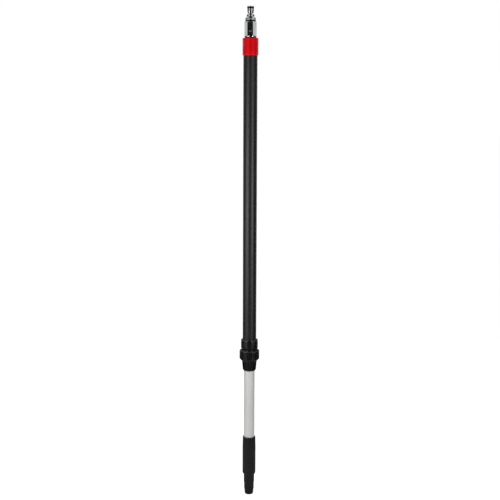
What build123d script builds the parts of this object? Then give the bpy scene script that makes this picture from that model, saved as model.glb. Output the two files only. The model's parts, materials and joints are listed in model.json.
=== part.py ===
from build123d import *
import os

# A telescopic water-fed window cleaning pole, in millimetres. It stands upright on
# the Z axis with the tool cone at the bottom and the hose nipple at the top. The
# origin is the centre of the cone's tip. Heights are built up from there: the cone,
# the inner tube, the twist-lock, the outer tube, the end collar and the hose swivel.

# Gaps, measured on the radius or between faces.
running_gap = 0.08  # parts that turn or slide on each other
joint_gap = 0.05  # parts that are bonded, screwed or pressed together
free_gap = 0.3  # parts that pass each other without bearing
face_gap = 0.1  # below the swivel's dust ring
groove_side_gap = 0.1  # beside an O-ring in its groove

# Tubes.
outer_tube_diameter = 28.0
outer_tube_wall = 1.2
outer_tube_length = 620.0
inner_tube_diameter = 22.0
inner_tube_wall = 1.2
inner_tube_length = 669.0
inner_tube_showing = 143.1  # between the cone's rim and the lock nut

# Tool cone on the inner tube's lower end, from the tip up.
tip_diameter = 17.1
tip_chamfer = 0.7
tip_taper_length = 12.2
tip_top_diameter = 19.9
tip_seal_height = 6.5
tip_seal_diameter = 19.0
tip_bore_diameter = 10.0
lower_land_diameter = 20.6
lower_land_length = 12.2
land_step_height = 2.4
upper_land_diameter = 22.0
upper_land_length = 15.2
cone_shoulder_height = 5.3
cone_diameter = 27.6
cone_side_length = 57.1
cone_rim_taper_length = 21.0
cone_rim_diameter = 26.6
cone_rim_bevel = 1.0
cone_socket_depth = 60.4
cone_spigot_length = 38.0  # inside the tube, above the socket's floor
cone_seal_depth = 4.0  # below the spigot's top
cone_screw_height = 16.0  # above the socket's floor
screw_shank_diameter = 3.6
screw_head_diameter = 6.6
screw_head_depth = 1.5
screw_reach = 2.0  # into the spigot inside the tube

# O-rings, by the thickness of their cord.
tip_cord = 1.8
cone_cord = 1.8
piston_cord = 2.6
piston_spigot_cord = 1.8
plug_cord = 2.0
swivel_cord = 1.8
nipple_cord = 2.6
o_ring_bevel_share = 0.3  # of the cord, at each corner of one that shows

# Piston on the inner tube's upper end.
piston_head_length = 22.0
piston_spigot_length = 26.0
piston_bore_diameter = 10.0
piston_gap = 0.25  # between its head and the outer tube
piston_land = 3.0  # below the guide ring, and between it and the seal
piston_spigot_seal_height = 4.0  # above the spigot's end
guide_ring_width = 6.0
guide_ring_thickness = 1.5
guide_ring_split = 1.2
pin_diameter = 3.0
pin_reach = 2.0  # past the tube, into the part that it holds
piston_pin_depth = 9.0  # below the head

# Lock nut, from its foot up.
nut_foot_wall = 0.6
nut_foot_chamfer = 2.6
nut_skirt_length = 18.0
nut_skirt_foot_diameter = 27.5
nut_skirt_top_diameter = 30.6
nut_shoulder_height = 5.1
nut_drum_length = 17.8
nut_drum_diameter = 40.9
nut_top_chamfer = 1.2
nut_bore_depth = 19.0
nut_groove_count = 20
nut_groove_depth = 1.3
nut_groove_width = 3.4  # at its open side
nut_groove_flank_angle = 65.0
nut_flute_count = 8
nut_flute_diameter = 4.4
nut_flute_depth = 0.7
wiper_height = 4.6  # above the nut's foot
wiper_width = 3.4
wiper_thickness = 1.5

# Clamp body above the nut, and what it holds.
neck_gap = 1.3  # neck that shows above the tight nut
neck_diameter = 30.0
neck_length = 15.3
clamp_foot_diameter = 30.5
clamp_foot_chamfer = 3.8
clamp_diameter = 34.9
clamp_length = 21.1
clamp_top_bevel = 1.1
clamp_socket_depth = 15.4
thrust_ring_thickness = 1.5
collet_flange_diameter = 28.8
collet_flange_thickness = 2.5
collet_length = 15.0
collet_tip_wall = 1.1
collet_root_wall = 2.4
collet_slot_count = 6
collet_slot_width = 1.2
bush_flange_thickness = 2.0
bush_length = 48.0

# End plug and red end collar on the outer tube's upper end.
plug_length = 37.0
plug_bore_diameter = 8.0
plug_seal_height = 5.0  # above the plug's lower end
plug_pin_depth = 8.0  # below the tube's upper end
collar_cover = 30.4  # length over the tube
collar_foot_bevel = 0.8
collar_diameter = 31.5
collar_cap = 4.1
collar_shoulder_height = 0.8
collar_lip_diameter = 23.0
collar_edge_bevel = 0.4

# Hose swivel.
stud_diameter = 16.0
stud_length = 18.2
stud_bore_diameter = 8.0
barrel_diameter = 24.6
barrel_length = 30.9
barrel_floor = 2.1
barrel_foot_diameter = 22.0
barrel_foot_bevel = 1.5
barrel_top_diameter = 23.8
barrel_top_bevel = 0.6
swivel_spigot_diameter = 17.8
swivel_end_gap = 1.0
swivel_seal_heights = (2.2, 18.0)  # above the spigot's end
swivel_pin_height = 9.1  # above the spigot's end
swivel_pin_diameter = 3.6
swivel_pin_head = 0.5  # proud of the barrel
swivel_pin_bevel = 0.8
swivel_groove_depth = 1.5
dust_ring_diameter = 20.7
dust_ring_thickness = 2.6

# Hose nipple, from its flange up.
nipple_bore_diameter = 6.4
flange_diameter = 21.4
flange_thickness = 4.0
seat_height = 2.7
seat_top_diameter = 16.5
ridge_diameter = 15.5
ridge_length = 3.6
flare_height = 2.7
waist_diameter = 11.2
waist_length = 1.2
stem_foot_chamfer = 2.0
stem_foot_diameter = 12.6
stem_top_diameter = 13.0
stem_length = 6.4
nipple_seal_diameter = 13.8
lip_diameter = 13.4
lip_thickness = 1.7
lip_bevel = 0.5

# Radii that several parts share.
outer_tube_r = outer_tube_diameter / 2
outer_bore_r = outer_tube_r - outer_tube_wall
inner_tube_r = inner_tube_diameter / 2
inner_bore_r = inner_tube_r - inner_tube_wall
guide_bore_r = inner_tube_r + running_gap
passing_bore_r = inner_tube_r + free_gap
tube_spigot_r = inner_bore_r - joint_gap
guide_ring_bore_r = outer_bore_r - running_gap - guide_ring_thickness
nut_bore_r = neck_diameter / 2 + free_gap
wiper_r = guide_bore_r + wiper_thickness
collet_tip_r = guide_bore_r + collet_tip_wall
collet_root_r = guide_bore_r + collet_root_wall
plug_r = outer_bore_r - joint_gap  # end plug and guide bush, in the outer tube
pin_hole_r = pin_diameter / 2 + joint_gap
swivel_spigot_r = swivel_spigot_diameter / 2
swivel_bore_r = swivel_spigot_r + running_gap
swivel_groove_floor_r = swivel_spigot_r - swivel_groove_depth
dust_ring_bore_r = swivel_spigot_r + joint_gap

# Heights, from the cone's tip up.
lower_land_z = tip_taper_length
upper_land_z = lower_land_z + lower_land_length + land_step_height
cone_shoulder_z = upper_land_z + upper_land_length
cone_side_z = cone_shoulder_z + cone_shoulder_height
cone_rim_z = cone_side_z + cone_side_length + cone_rim_taper_length + cone_rim_bevel
socket_floor_z = cone_rim_z - cone_socket_depth
cone_spigot_top_z = socket_floor_z + cone_spigot_length
cone_seal_z = cone_spigot_top_z - cone_seal_depth
cone_screw_z = socket_floor_z + cone_screw_height
piston_z = socket_floor_z + inner_tube_length
piston_spigot_end_z = piston_z - piston_spigot_length
piston_spigot_seal_z = piston_spigot_end_z + piston_spigot_seal_height
piston_pin_z = piston_z - piston_pin_depth
guide_ring_z = piston_z + piston_land
piston_seal_z = guide_ring_z + guide_ring_width + piston_land + piston_cord / 2
nut_foot_z = cone_rim_z + inner_tube_showing
nut_skirt_z = nut_foot_z + nut_foot_chamfer
nut_shoulder_z = nut_skirt_z + nut_skirt_length
nut_drum_z = nut_shoulder_z + nut_shoulder_height
nut_top_z = nut_drum_z + nut_drum_length
wiper_z = nut_foot_z + wiper_height
thrust_ring_z = nut_top_z - nut_bore_depth
collet_z = thrust_ring_z + thrust_ring_thickness
collet_root_z = collet_z + collet_flange_thickness
collet_tip_z = collet_z + collet_length
clamp_z = nut_top_z + neck_gap
neck_end_z = clamp_z - neck_length
clamp_top_z = clamp_z + clamp_length
clamp_socket_z = clamp_top_z - clamp_socket_depth
outer_tube_z = clamp_socket_z + bush_flange_thickness
outer_tube_top_z = outer_tube_z + outer_tube_length
plug_z = outer_tube_top_z - plug_length
plug_seal_z = plug_z + plug_seal_height
plug_pin_z = outer_tube_top_z - plug_pin_depth
collar_z = outer_tube_top_z - collar_cover
barrel_z = outer_tube_top_z + collar_cap
stud_end_z = barrel_z - stud_length
barrel_floor_z = barrel_z + barrel_floor
barrel_top_z = barrel_z + barrel_length
spigot_end_z = barrel_floor_z + swivel_end_gap
swivel_pin_z = spigot_end_z + swivel_pin_height
dust_ring_z = barrel_top_z + face_gap
flange_z = dust_ring_z + dust_ring_thickness
seat_z = flange_z + flange_thickness
ridge_z = seat_z + seat_height
waist_z = ridge_z + ridge_length + flare_height
stem_z = waist_z + waist_length + stem_foot_chamfer
nipple_groove_z = stem_z + stem_length
nipple_seal_z = nipple_groove_z + groove_side_gap + nipple_cord / 2
lip_z = nipple_seal_z + nipple_cord / 2 + groove_side_gap

# Directions of the radial fasteners, in degrees about Z from +X.
side_angles = (0.0, 180.0)
front_and_back_angles = (-90.0, 90.0)
back_angle = 90.0


def turned(*outline):
    """Closed outline of (radius, height) corners, revolved about the Z axis."""
    return revolve(Plane.XZ * make_face(Polyline(*outline, close=True)), Axis.Z)


def ring(inner_r, outer_r, foot_z, top_z):
    """Plain ring about the Z axis."""
    return turned((inner_r, foot_z), (outer_r, foot_z), (outer_r, top_z), (inner_r, top_z))


def squeezed_o_ring(outer_r, cord, centre_z):
    """O-ring pressed flat in its groove, inside another part."""
    return ring(outer_r - cord, outer_r, centre_z - cord / 2, centre_z + cord / 2)


def free_o_ring(outer_r, cord, centre_z):
    """O-ring that stands open in its groove, with its outer side rounded off."""
    bevel = cord * o_ring_bevel_share
    foot_z = centre_z - cord / 2
    top_z = centre_z + cord / 2
    return turned(
        (outer_r - cord, foot_z),
        (outer_r - bevel, foot_z),
        (outer_r, foot_z + bevel),
        (outer_r, top_z - bevel),
        (outer_r - bevel, top_z),
        (outer_r - cord, top_z),
    )


def seal_groove(outer_r, cord, centre_z):
    """What an O-ring's groove takes out of the part that it is on."""
    half_width = cord / 2 + groove_side_gap
    floor_r = outer_r - cord - joint_gap
    return ring(floor_r, outer_r + joint_gap, centre_z - half_width, centre_z + half_width)


def radial_rod(radius, from_r, to_r, z, angle):
    """Round rod that points away from the Z axis at a height and an angle."""
    start = Pos(0, 0, z) * Rot(0, 0, angle) * Pos(from_r, 0, 0) * Rot(0, 90, 0)
    return start * extrude(Circle(radius), to_r - from_r)


def radial_rods(radius, from_r, to_r, z, angles):
    """The same rod at each of several angles."""
    return [radial_rod(radius, from_r, to_r, z, angle) for angle in angles]


def around(count):
    """Evenly spaced angles in degrees."""
    return [360.0 * i / count for i in range(count)]


# Tool cone.
def cone_screw_solid(gap):
    """Countersunk screw at the cone's back, grown by a gap for its hole."""
    shank_r = screw_shank_diameter / 2 + gap
    head_r = screw_head_diameter / 2 + gap
    face_r = cone_diameter / 2
    neck_r = face_r - screw_head_depth
    shank = radial_rod(shank_r, tube_spigot_r - screw_reach - gap, face_r, cone_screw_z, back_angle)
    start = Pos(0, 0, cone_screw_z) * Rot(0, 0, back_angle) * Pos(neck_r, 0, 0) * Rot(0, 90, 0)
    head = start * Pos(0, 0, screw_head_depth / 2) * Cone(shank_r, head_r, screw_head_depth)
    return shank + head


def pole_cone():
    """Stepped cone that brushes and squeegees push on to, with a water bore."""
    bore_r = tip_bore_diameter / 2
    rim_r = cone_rim_diameter / 2
    side_top_z = cone_rim_z - cone_rim_bevel
    socket_r = inner_tube_r + joint_gap
    body = turned(
        (bore_r, 0),
        (tip_diameter / 2 - tip_chamfer, 0),
        (tip_diameter / 2, tip_chamfer),
        (tip_top_diameter / 2, tip_taper_length),
        (lower_land_diameter / 2, lower_land_z),
        (lower_land_diameter / 2, lower_land_z + lower_land_length),
        (upper_land_diameter / 2, upper_land_z),
        (upper_land_diameter / 2, cone_shoulder_z),
        (cone_diameter / 2, cone_side_z),
        (cone_diameter / 2, cone_side_z + cone_side_length),
        (rim_r, side_top_z),
        (rim_r - cone_rim_bevel, cone_rim_z),
        (socket_r, cone_rim_z),
        (socket_r, socket_floor_z),
        (tube_spigot_r, socket_floor_z),
        (tube_spigot_r, cone_spigot_top_z),
        (bore_r, cone_spigot_top_z),
    )
    body -= seal_groove(tip_seal_diameter / 2, tip_cord, tip_seal_height)
    body -= seal_groove(tube_spigot_r, cone_cord, cone_seal_z)
    return body - cone_screw_solid(joint_gap)


# Tubes.
def inner_tube():
    """Bright tube that slides and turns inside the outer one."""
    body = ring(inner_bore_r, inner_tube_r, socket_floor_z, piston_z)
    screw_r = screw_shank_diameter / 2 + joint_gap
    body -= radial_rod(screw_r, 0, outer_tube_r, cone_screw_z, back_angle)
    return body - radial_rods(pin_hole_r, 0, outer_tube_r, piston_pin_z, side_angles)


def outer_tube():
    """Black anodised tube that the user holds."""
    body = ring(outer_bore_r, outer_tube_r, outer_tube_z, outer_tube_top_z)
    return body - radial_rods(pin_hole_r, 0, outer_tube_diameter, plug_pin_z, side_angles)


# Piston that seals the water between the tubes.
def piston_pins():
    """Rivets that hold the piston in the inner tube, flush with its outside."""
    start_r = tube_spigot_r - pin_reach
    end_r = inner_tube_r - joint_gap
    return radial_rods(pin_diameter / 2, start_r, end_r, piston_pin_z, side_angles)


def piston():
    """Head with a guide groove and a seal groove, on a spigot in the tube."""
    bore_r = piston_bore_diameter / 2
    head_r = outer_bore_r - piston_gap
    head_top_z = piston_z + piston_head_length
    body = turned(
        (bore_r, piston_spigot_end_z),
        (tube_spigot_r, piston_spigot_end_z),
        (tube_spigot_r, piston_z),
        (head_r, piston_z),
        (head_r, head_top_z),
        (bore_r, head_top_z),
    )
    guide_floor_r = guide_ring_bore_r - running_gap
    guide_top_z = guide_ring_z + guide_ring_width
    body -= ring(guide_floor_r, outer_bore_r, guide_ring_z - face_gap, guide_top_z + face_gap)
    body -= seal_groove(outer_bore_r - running_gap, piston_cord, piston_seal_z)
    body -= seal_groove(tube_spigot_r, piston_spigot_cord, piston_spigot_seal_z)
    hole_start_r = tube_spigot_r - pin_reach - joint_gap
    return body - radial_rods(pin_hole_r, hole_start_r, inner_tube_r, piston_pin_z, side_angles)


def piston_o_rings():
    """The sliding seal on the piston's head and the fixed one on its spigot."""
    sliding = squeezed_o_ring(outer_bore_r - running_gap, piston_cord, piston_seal_z)
    fixed = squeezed_o_ring(tube_spigot_r, piston_spigot_cord, piston_spigot_seal_z)
    return [sliding, fixed]


def guide_ring():
    """Split plastic ring that the piston runs on, turning freely round it."""
    guide_top_z = guide_ring_z + guide_ring_width
    body = ring(guide_ring_bore_r, outer_bore_r - running_gap, guide_ring_z, guide_top_z)
    middle_z = (guide_ring_z + guide_top_z) / 2
    split = Box(outer_bore_r, guide_ring_split, 2 * guide_ring_width)
    return body - Pos(outer_bore_r, 0, middle_z) * split


# Twist-lock.
def lock_nut():
    """Ribbed nut with a fluted, tapering skirt round the inner tube."""
    foot_r = passing_bore_r + nut_foot_wall
    drum_r = nut_drum_diameter / 2
    body = turned(
        (passing_bore_r, nut_foot_z),
        (foot_r, nut_foot_z),
        (nut_skirt_foot_diameter / 2, nut_skirt_z),
        (nut_skirt_top_diameter / 2, nut_shoulder_z),
        (drum_r, nut_drum_z),
        (drum_r, nut_top_z - nut_top_chamfer),
        (drum_r - nut_top_chamfer, nut_top_z),
        (nut_bore_r, nut_top_z),
        (nut_bore_r, thrust_ring_z),
        (passing_bore_r, thrust_ring_z),
    )
    body -= ring(0, wiper_r + joint_gap, wiper_z - joint_gap, wiper_z + wiper_width + joint_gap)
    for angle in around(nut_groove_count):
        body -= Rot(0, 0, angle) * nut_groove()
    for angle in around(nut_flute_count):
        body -= Rot(0, 0, angle + back_angle) * nut_flute()
    return body


def nut_groove():
    """Gap between two grip ribs, cut at half a pitch from +X."""
    drum_r = nut_drum_diameter / 2
    section = Trapezoid(nut_groove_width, nut_groove_depth, nut_groove_flank_angle)
    cutter = extrude(Rot(0, 0, 90) * section, nut_top_z - nut_shoulder_z)
    half_pitch = 180.0 / nut_groove_count
    place_r = drum_r - nut_groove_depth / 2
    return Rot(0, 0, half_pitch) * Pos(place_r, 0, nut_shoulder_z) * cutter


def nut_flute():
    """Shallow round flute down the skirt, parallel to its slope."""
    foot = Vector(nut_skirt_foot_diameter / 2, 0, nut_skirt_z)
    top = Vector(nut_skirt_top_diameter / 2, 0, nut_shoulder_z)
    slope = (top - foot).normalized()
    centre = nut_flute_diameter / 2 - nut_flute_depth
    start = foot - slope * nut_foot_chamfer + Vector(centre, 0, 0)
    plane = Plane(start, x_dir=(0, 1, 0), z_dir=slope)
    return plane * extrude(Circle(nut_flute_diameter / 2), nut_skirt_length)


def wiper_ring():
    """Rubber lip ring in the nut's foot that wipes the inner tube."""
    return ring(guide_bore_r, wiper_r, wiper_z, wiper_z + wiper_width)


def thrust_ring():
    """Slip washer between the nut and the collet."""
    outer_r = collet_flange_diameter / 2
    return ring(passing_bore_r, outer_r, thrust_ring_z, collet_z)


def collet():
    """Flanged sleeve whose fingers wedge in the neck and grip the inner tube."""
    flange_r = collet_flange_diameter / 2
    body = turned(
        (guide_bore_r, collet_z),
        (flange_r, collet_z),
        (flange_r, collet_root_z),
        (collet_root_r, collet_root_z),
        (collet_tip_r, collet_tip_z),
        (guide_bore_r, collet_tip_z),
    )
    slot_length = collet_tip_z - collet_root_z
    slot = Box(collet_flange_diameter, collet_slot_width, 2 * slot_length)
    slot = Pos(collet_flange_diameter / 2, 0, collet_tip_z) * slot
    for angle in around(collet_slot_count):
        body -= Rot(0, 0, angle) * slot
    return body


def clamp_body():
    """Socket for the outer tube over a screwed neck that closes the collet."""
    neck_r = neck_diameter / 2
    clamp_r = clamp_diameter / 2
    socket_r = outer_tube_r + joint_gap
    web_z = collet_tip_z + free_gap
    taper = (collet_root_r - collet_tip_r) / (collet_tip_z - collet_root_z)
    mouth_r = collet_root_r + joint_gap - taper * (neck_end_z - collet_root_z)
    throat_r = collet_tip_r + joint_gap - taper * (web_z - collet_tip_z)
    return turned(
        (mouth_r, neck_end_z),
        (neck_r, neck_end_z),
        (neck_r, clamp_z),
        (clamp_foot_diameter / 2, clamp_z),
        (clamp_r, clamp_z + clamp_foot_chamfer),
        (clamp_r, clamp_top_z - clamp_top_bevel),
        (clamp_r - clamp_top_bevel, clamp_top_z),
        (socket_r, clamp_top_z),
        (socket_r, clamp_socket_z),
        (passing_bore_r, clamp_socket_z),
        (passing_bore_r, web_z),
        (throat_r, web_z),
    )


def guide_bush():
    """Flanged bush in the outer tube's lower end that guides the inner tube."""
    return turned(
        (guide_bore_r, clamp_socket_z),
        (outer_tube_r, clamp_socket_z),
        (outer_tube_r, outer_tube_z),
        (plug_r, outer_tube_z),
        (plug_r, outer_tube_z + bush_length),
        (guide_bore_r, outer_tube_z + bush_length),
    )


# End plug and collar.
def end_plug():
    """Plug pinned in the outer tube, with a screwed socket for the swivel."""
    bore_r = plug_bore_diameter / 2
    socket_r = stud_diameter / 2 + joint_gap
    body = turned(
        (bore_r, plug_z),
        (plug_r, plug_z),
        (plug_r, outer_tube_top_z),
        (socket_r, outer_tube_top_z),
        (socket_r, stud_end_z),
        (bore_r, stud_end_z),
    )
    body -= seal_groove(plug_r, plug_cord, plug_seal_z)
    hole_start_r = plug_r - pin_reach - joint_gap
    return body - radial_rods(pin_hole_r, hole_start_r, outer_tube_r, plug_pin_z, side_angles)


def plug_pins():
    """Pins through the outer tube into the plug, hidden by the collar."""
    start_r = plug_r - pin_reach
    end_r = outer_tube_r - joint_gap
    return radial_rods(pin_diameter / 2, start_r, end_r, plug_pin_z, side_angles)


def end_collar():
    """Red collar over the tube's end, held down by the swivel's barrel."""
    collar_r = collar_diameter / 2
    tube_hole_r = outer_tube_r + joint_gap
    stud_hole_r = stud_diameter / 2 + joint_gap
    shoulder_z = barrel_z - collar_shoulder_height
    return turned(
        (tube_hole_r, collar_z),
        (collar_r - collar_foot_bevel, collar_z),
        (collar_r, collar_z + collar_foot_bevel),
        (collar_r, shoulder_z - collar_edge_bevel),
        (collar_r - collar_edge_bevel, shoulder_z),
        (collar_lip_diameter / 2, barrel_z),
        (stud_hole_r, barrel_z),
        (stud_hole_r, outer_tube_top_z),
        (tube_hole_r, outer_tube_top_z),
    )


# Hose swivel.
def swivel_body():
    """Chromed barrel that the nipple turns in, on a stud screwed in the plug."""
    stud_r = stud_diameter / 2
    stud_bore_r = stud_bore_diameter / 2
    barrel_r = barrel_diameter / 2
    body = turned(
        (stud_bore_r, stud_end_z),
        (stud_r, stud_end_z),
        (stud_r, barrel_z),
        (barrel_foot_diameter / 2, barrel_z),
        (barrel_r, barrel_z + barrel_foot_bevel),
        (barrel_r, barrel_top_z - barrel_top_bevel),
        (barrel_top_diameter / 2, barrel_top_z),
        (swivel_bore_r, barrel_top_z),
        (swivel_bore_r, barrel_floor_z),
        (stud_bore_r, barrel_floor_z),
    )
    hole_r = swivel_pin_diameter / 2 + joint_gap
    start_r = swivel_groove_floor_r
    return body - radial_rods(hole_r, start_r, barrel_diameter, swivel_pin_z, front_and_back_angles)


def swivel_pins():
    """Bevelled pins pressed in the barrel, whose tips run in the nipple's groove."""
    pin_r = swivel_pin_diameter / 2
    tip_r = swivel_groove_floor_r + free_gap
    barrel_r = barrel_diameter / 2
    head_r = barrel_r + swivel_pin_head
    outline = Polyline(
        (tip_r, 0),
        (tip_r, pin_r),
        (barrel_r, pin_r),
        (head_r, pin_r - swivel_pin_bevel),
        (head_r, 0),
        close=True,
    )
    pin = Pos(0, 0, swivel_pin_z) * revolve(make_face(outline), Axis.X)
    return [Rot(0, 0, angle) * pin for angle in front_and_back_angles]


def dust_ring():
    """Black ring under the nipple's flange that keeps grit out of the swivel."""
    return ring(dust_ring_bore_r, dust_ring_diameter / 2, dust_ring_z, flange_z)


def hose_nipple():
    """Hose nipple on a grooved spigot, with the water way through it."""
    bore_r = nipple_bore_diameter / 2
    ridge_r = ridge_diameter / 2
    waist_r = waist_diameter / 2
    stem_top_r = stem_top_diameter / 2
    lip_r = lip_diameter / 2
    lip_top_z = lip_z + lip_thickness
    body = turned(
        (bore_r, spigot_end_z),
        (swivel_spigot_r, spigot_end_z),
        (swivel_spigot_r, flange_z),
        (flange_diameter / 2, flange_z),
        (flange_diameter / 2, seat_z),
        (seat_top_diameter / 2, ridge_z),
        (ridge_r, ridge_z),
        (ridge_r, ridge_z + ridge_length),
        (waist_r, waist_z),
        (waist_r, waist_z + waist_length),
        (stem_foot_diameter / 2, stem_z),
        (stem_top_r, nipple_groove_z),
        (stem_top_r, lip_z),
        (lip_r, lip_z),
        (lip_r, lip_top_z - lip_bevel),
        (lip_r - lip_bevel, lip_top_z),
        (bore_r, lip_top_z),
    )
    pin_way = swivel_pin_diameter / 2 + running_gap
    body -= ring(swivel_groove_floor_r, swivel_bore_r, swivel_pin_z - pin_way, swivel_pin_z + pin_way)
    for height in swivel_seal_heights:
        body -= seal_groove(swivel_spigot_r, swivel_cord, spigot_end_z + height)
    return body - seal_groove(nipple_seal_diameter / 2, nipple_cord, nipple_seal_z)


def swivel_o_rings():
    """Seals below and above the swivel pins."""
    heights = [spigot_end_z + height for height in swivel_seal_heights]
    return [squeezed_o_ring(swivel_spigot_r, swivel_cord, z) for z in heights]


def save(name, shape):
    """Write one sub-part, which is a solid or a list of separate solids."""
    solids = shape if isinstance(shape, list) else [shape]
    export_step(Compound(children=solids), f"parts/{name}.step")


os.makedirs("parts", exist_ok=True)

# What slides and turns inside the outer tube.
save("pole_cone", pole_cone())
save("tip_o_ring", free_o_ring(tip_seal_diameter / 2, tip_cord, tip_seal_height))
save("cone_o_ring", squeezed_o_ring(tube_spigot_r, cone_cord, cone_seal_z))
save("cone_screw", cone_screw_solid(0))
save("inner_tube", inner_tube())
save("piston", piston())
save("piston_pins", piston_pins())
save("piston_o_rings", piston_o_rings())
save("guide_ring", guide_ring())

# The twist-lock.
save("lock_nut", lock_nut())
save("wiper_ring", wiper_ring())
save("thrust_ring", thrust_ring())
save("collet", collet())
save("clamp_body", clamp_body())
save("guide_bush", guide_bush())

# The outer tube and its end.
save("outer_tube", outer_tube())
save("end_plug", end_plug())
save("plug_o_ring", squeezed_o_ring(plug_r, plug_cord, plug_seal_z))
save("plug_pins", plug_pins())
save("end_collar", end_collar())

# The hose swivel and its nipple.
save("swivel_body", swivel_body())
save("swivel_pins", swivel_pins())
save("swivel_o_rings", swivel_o_rings())
save("dust_ring", dust_ring())
save("hose_nipple", hose_nipple())
save("nipple_o_ring", free_o_ring(nipple_seal_diameter / 2, nipple_cord, nipple_seal_z))
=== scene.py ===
import json
import math

import bpy
from mathutils import Matrix, Vector

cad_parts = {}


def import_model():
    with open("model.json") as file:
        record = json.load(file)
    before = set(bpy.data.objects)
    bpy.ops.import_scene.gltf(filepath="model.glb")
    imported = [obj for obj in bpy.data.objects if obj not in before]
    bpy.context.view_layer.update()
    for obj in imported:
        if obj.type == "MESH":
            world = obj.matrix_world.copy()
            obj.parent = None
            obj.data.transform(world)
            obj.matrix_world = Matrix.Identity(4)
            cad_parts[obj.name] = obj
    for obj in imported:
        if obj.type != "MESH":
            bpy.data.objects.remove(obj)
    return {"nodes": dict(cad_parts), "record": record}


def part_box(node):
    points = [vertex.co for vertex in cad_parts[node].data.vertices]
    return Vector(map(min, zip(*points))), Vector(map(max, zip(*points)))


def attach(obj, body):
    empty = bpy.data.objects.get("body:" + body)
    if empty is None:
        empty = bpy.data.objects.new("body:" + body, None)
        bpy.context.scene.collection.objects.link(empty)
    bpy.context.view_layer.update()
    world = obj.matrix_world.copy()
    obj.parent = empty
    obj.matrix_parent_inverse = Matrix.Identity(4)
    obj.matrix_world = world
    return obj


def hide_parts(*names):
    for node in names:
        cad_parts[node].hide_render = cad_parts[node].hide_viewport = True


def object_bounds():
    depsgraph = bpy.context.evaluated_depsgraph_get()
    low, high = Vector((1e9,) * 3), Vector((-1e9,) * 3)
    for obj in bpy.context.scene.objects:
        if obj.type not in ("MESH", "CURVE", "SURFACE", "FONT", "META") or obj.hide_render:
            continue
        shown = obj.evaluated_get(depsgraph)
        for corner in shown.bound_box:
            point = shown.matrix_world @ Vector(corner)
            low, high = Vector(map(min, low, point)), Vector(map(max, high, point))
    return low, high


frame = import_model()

# The looks of a telescopic water-fed pole. Sizes are in metres, in the frame of the
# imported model: +Z up the pole, -Y towards the viewer, the cone's tip at the origin.
# Widths of screens are in metres, and their azimuths and tilts in degrees.

MM = 0.001
cad_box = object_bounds()

# Camera.
FRAME_PIXELS = 500.0
SENSOR_WIDTH = 36.0
FOCAL_PIXELS = 936.0
CAMERA_DISTANCE = 1.890
CAMERA_HEIGHT = 0.808
CAMERA_PITCH = math.radians(8.6)
CAMERA_ROLL = math.radians(0.21)
CAMERA_OFFSET = 0.0005

# Studio.
BACKGROUND_WHITE = 1.0
AMBIENT_STRENGTH = 0.16
FLOOR_SIZE = 60.0
FLOOR_GAP = 0.0002
FLOOR_ALBEDO = 0.86
FLOOR_MOTTLE = 0.01
FLOOR_LIFT = 0.65
STRIP_AZIMUTHS = (-50.0, 42.0)
STRIP_DISTANCE = 1.05
STRIP_WIDTHS = (0.84, 0.42)
STRIP_SPAN = (0.24, 0.76)
STRIP_POWERS = (5.6, 3.3)
STRIP_CORE_AZIMUTHS = (-34.0, 38.0)
STRIP_CORE_WIDTHS = (0.26, 0.2)
STRIP_CORE_SPAN = (0.34, 0.94)
STRIP_CORE_POWERS = (2.0, 1.5)
SKY_STRENGTH = 0.8
SKY_SPREAD = math.radians(50)
SKY_HEIGHT = 3.0
SCREEN_RADIUS = 1.35
SCREEN_LEFT = -61.0
SCREEN_RIGHT = 47.0
SCREEN_TOP = 1.1045
SURROUND_FRONT = 124.0
SURROUND_BACK = (150.0, 210.0)
SURROUND_TOP = 1.045
ARCH_HALF_WIDTH = 0.56
ARCH_CENTRE = 1.0
ARCH_FROM = 4.7
ARCH_TO = 104.0
SIDE_SCREEN_FROM = 64.0
SIDE_SCREEN_TO = 150.0
UPPER_SCREEN_TOP = 1.7
SCREEN_SHADE = 0.06
GREY_SHADE = 0.30
DARK_SHADE = 0.04
CLOTH_MOTTLE = 0.25
FAR_CLOTH_SHADE = 0.015
CLOTH_SEAM = 0.45
FULL_CIRCLE = (-180.0, 180.0)

# Mesh fineness.
TURN_STEPS = 144
ARC_STEPS = 5
SEAL_STEPS = 20
SCREW_STEPS = 48
PIN_STEPS = 40
DOME_STEPS = 7
STEPS_PER_RIB = 20
TUBE_ROWS = 24
CONE_SIDE_ROWS = 18
SKIRT_ROWS = 18
SHOULDER_ROWS = 8
DRUM_ROWS = 3
THREAD_ROWS = 60
SCREEN_STEPS = 48
ARCH_STEPS = 40
SHARP_ANGLE = math.radians(38)
MOST_REACH = 0.45
JUST_INSIDE = 0.999
JUST_OUTSIDE = 1.02
SUPPORT_REACH = 0.05 * MM
SUPPORT_LEAST = 0.3 * MM

# Gaps between pieces.
CLOSE_GAP = 0.05 * MM
GROOVE_GAP = 0.1 * MM
PIN_WAY = 0.08 * MM
PASSING_GAP = 0.3 * MM
SCREW_HEAD_DEPTH = 1.5 * MM


# Meshes.
def arc(before, corner, after, radius):
    """Points that round one corner of an outline."""
    a = Vector(before) - Vector(corner)
    b = Vector(after) - Vector(corner)
    half = a.angle(b) / 2
    reach = min(radius / math.tan(half), MOST_REACH * a.length, MOST_REACH * b.length)
    a.normalize()
    b.normalize()
    centre = Vector(corner) + (a + b).normalized() * (reach / math.cos(half))
    start = Vector(corner) + a * reach - centre
    end = Vector(corner) + b * reach - centre
    turn = start.angle_signed(end)
    turns = [Matrix.Rotation(-turn * i / ARC_STEPS, 2) for i in range(ARC_STEPS + 1)]
    return [centre + part @ start for part in turns]


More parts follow.
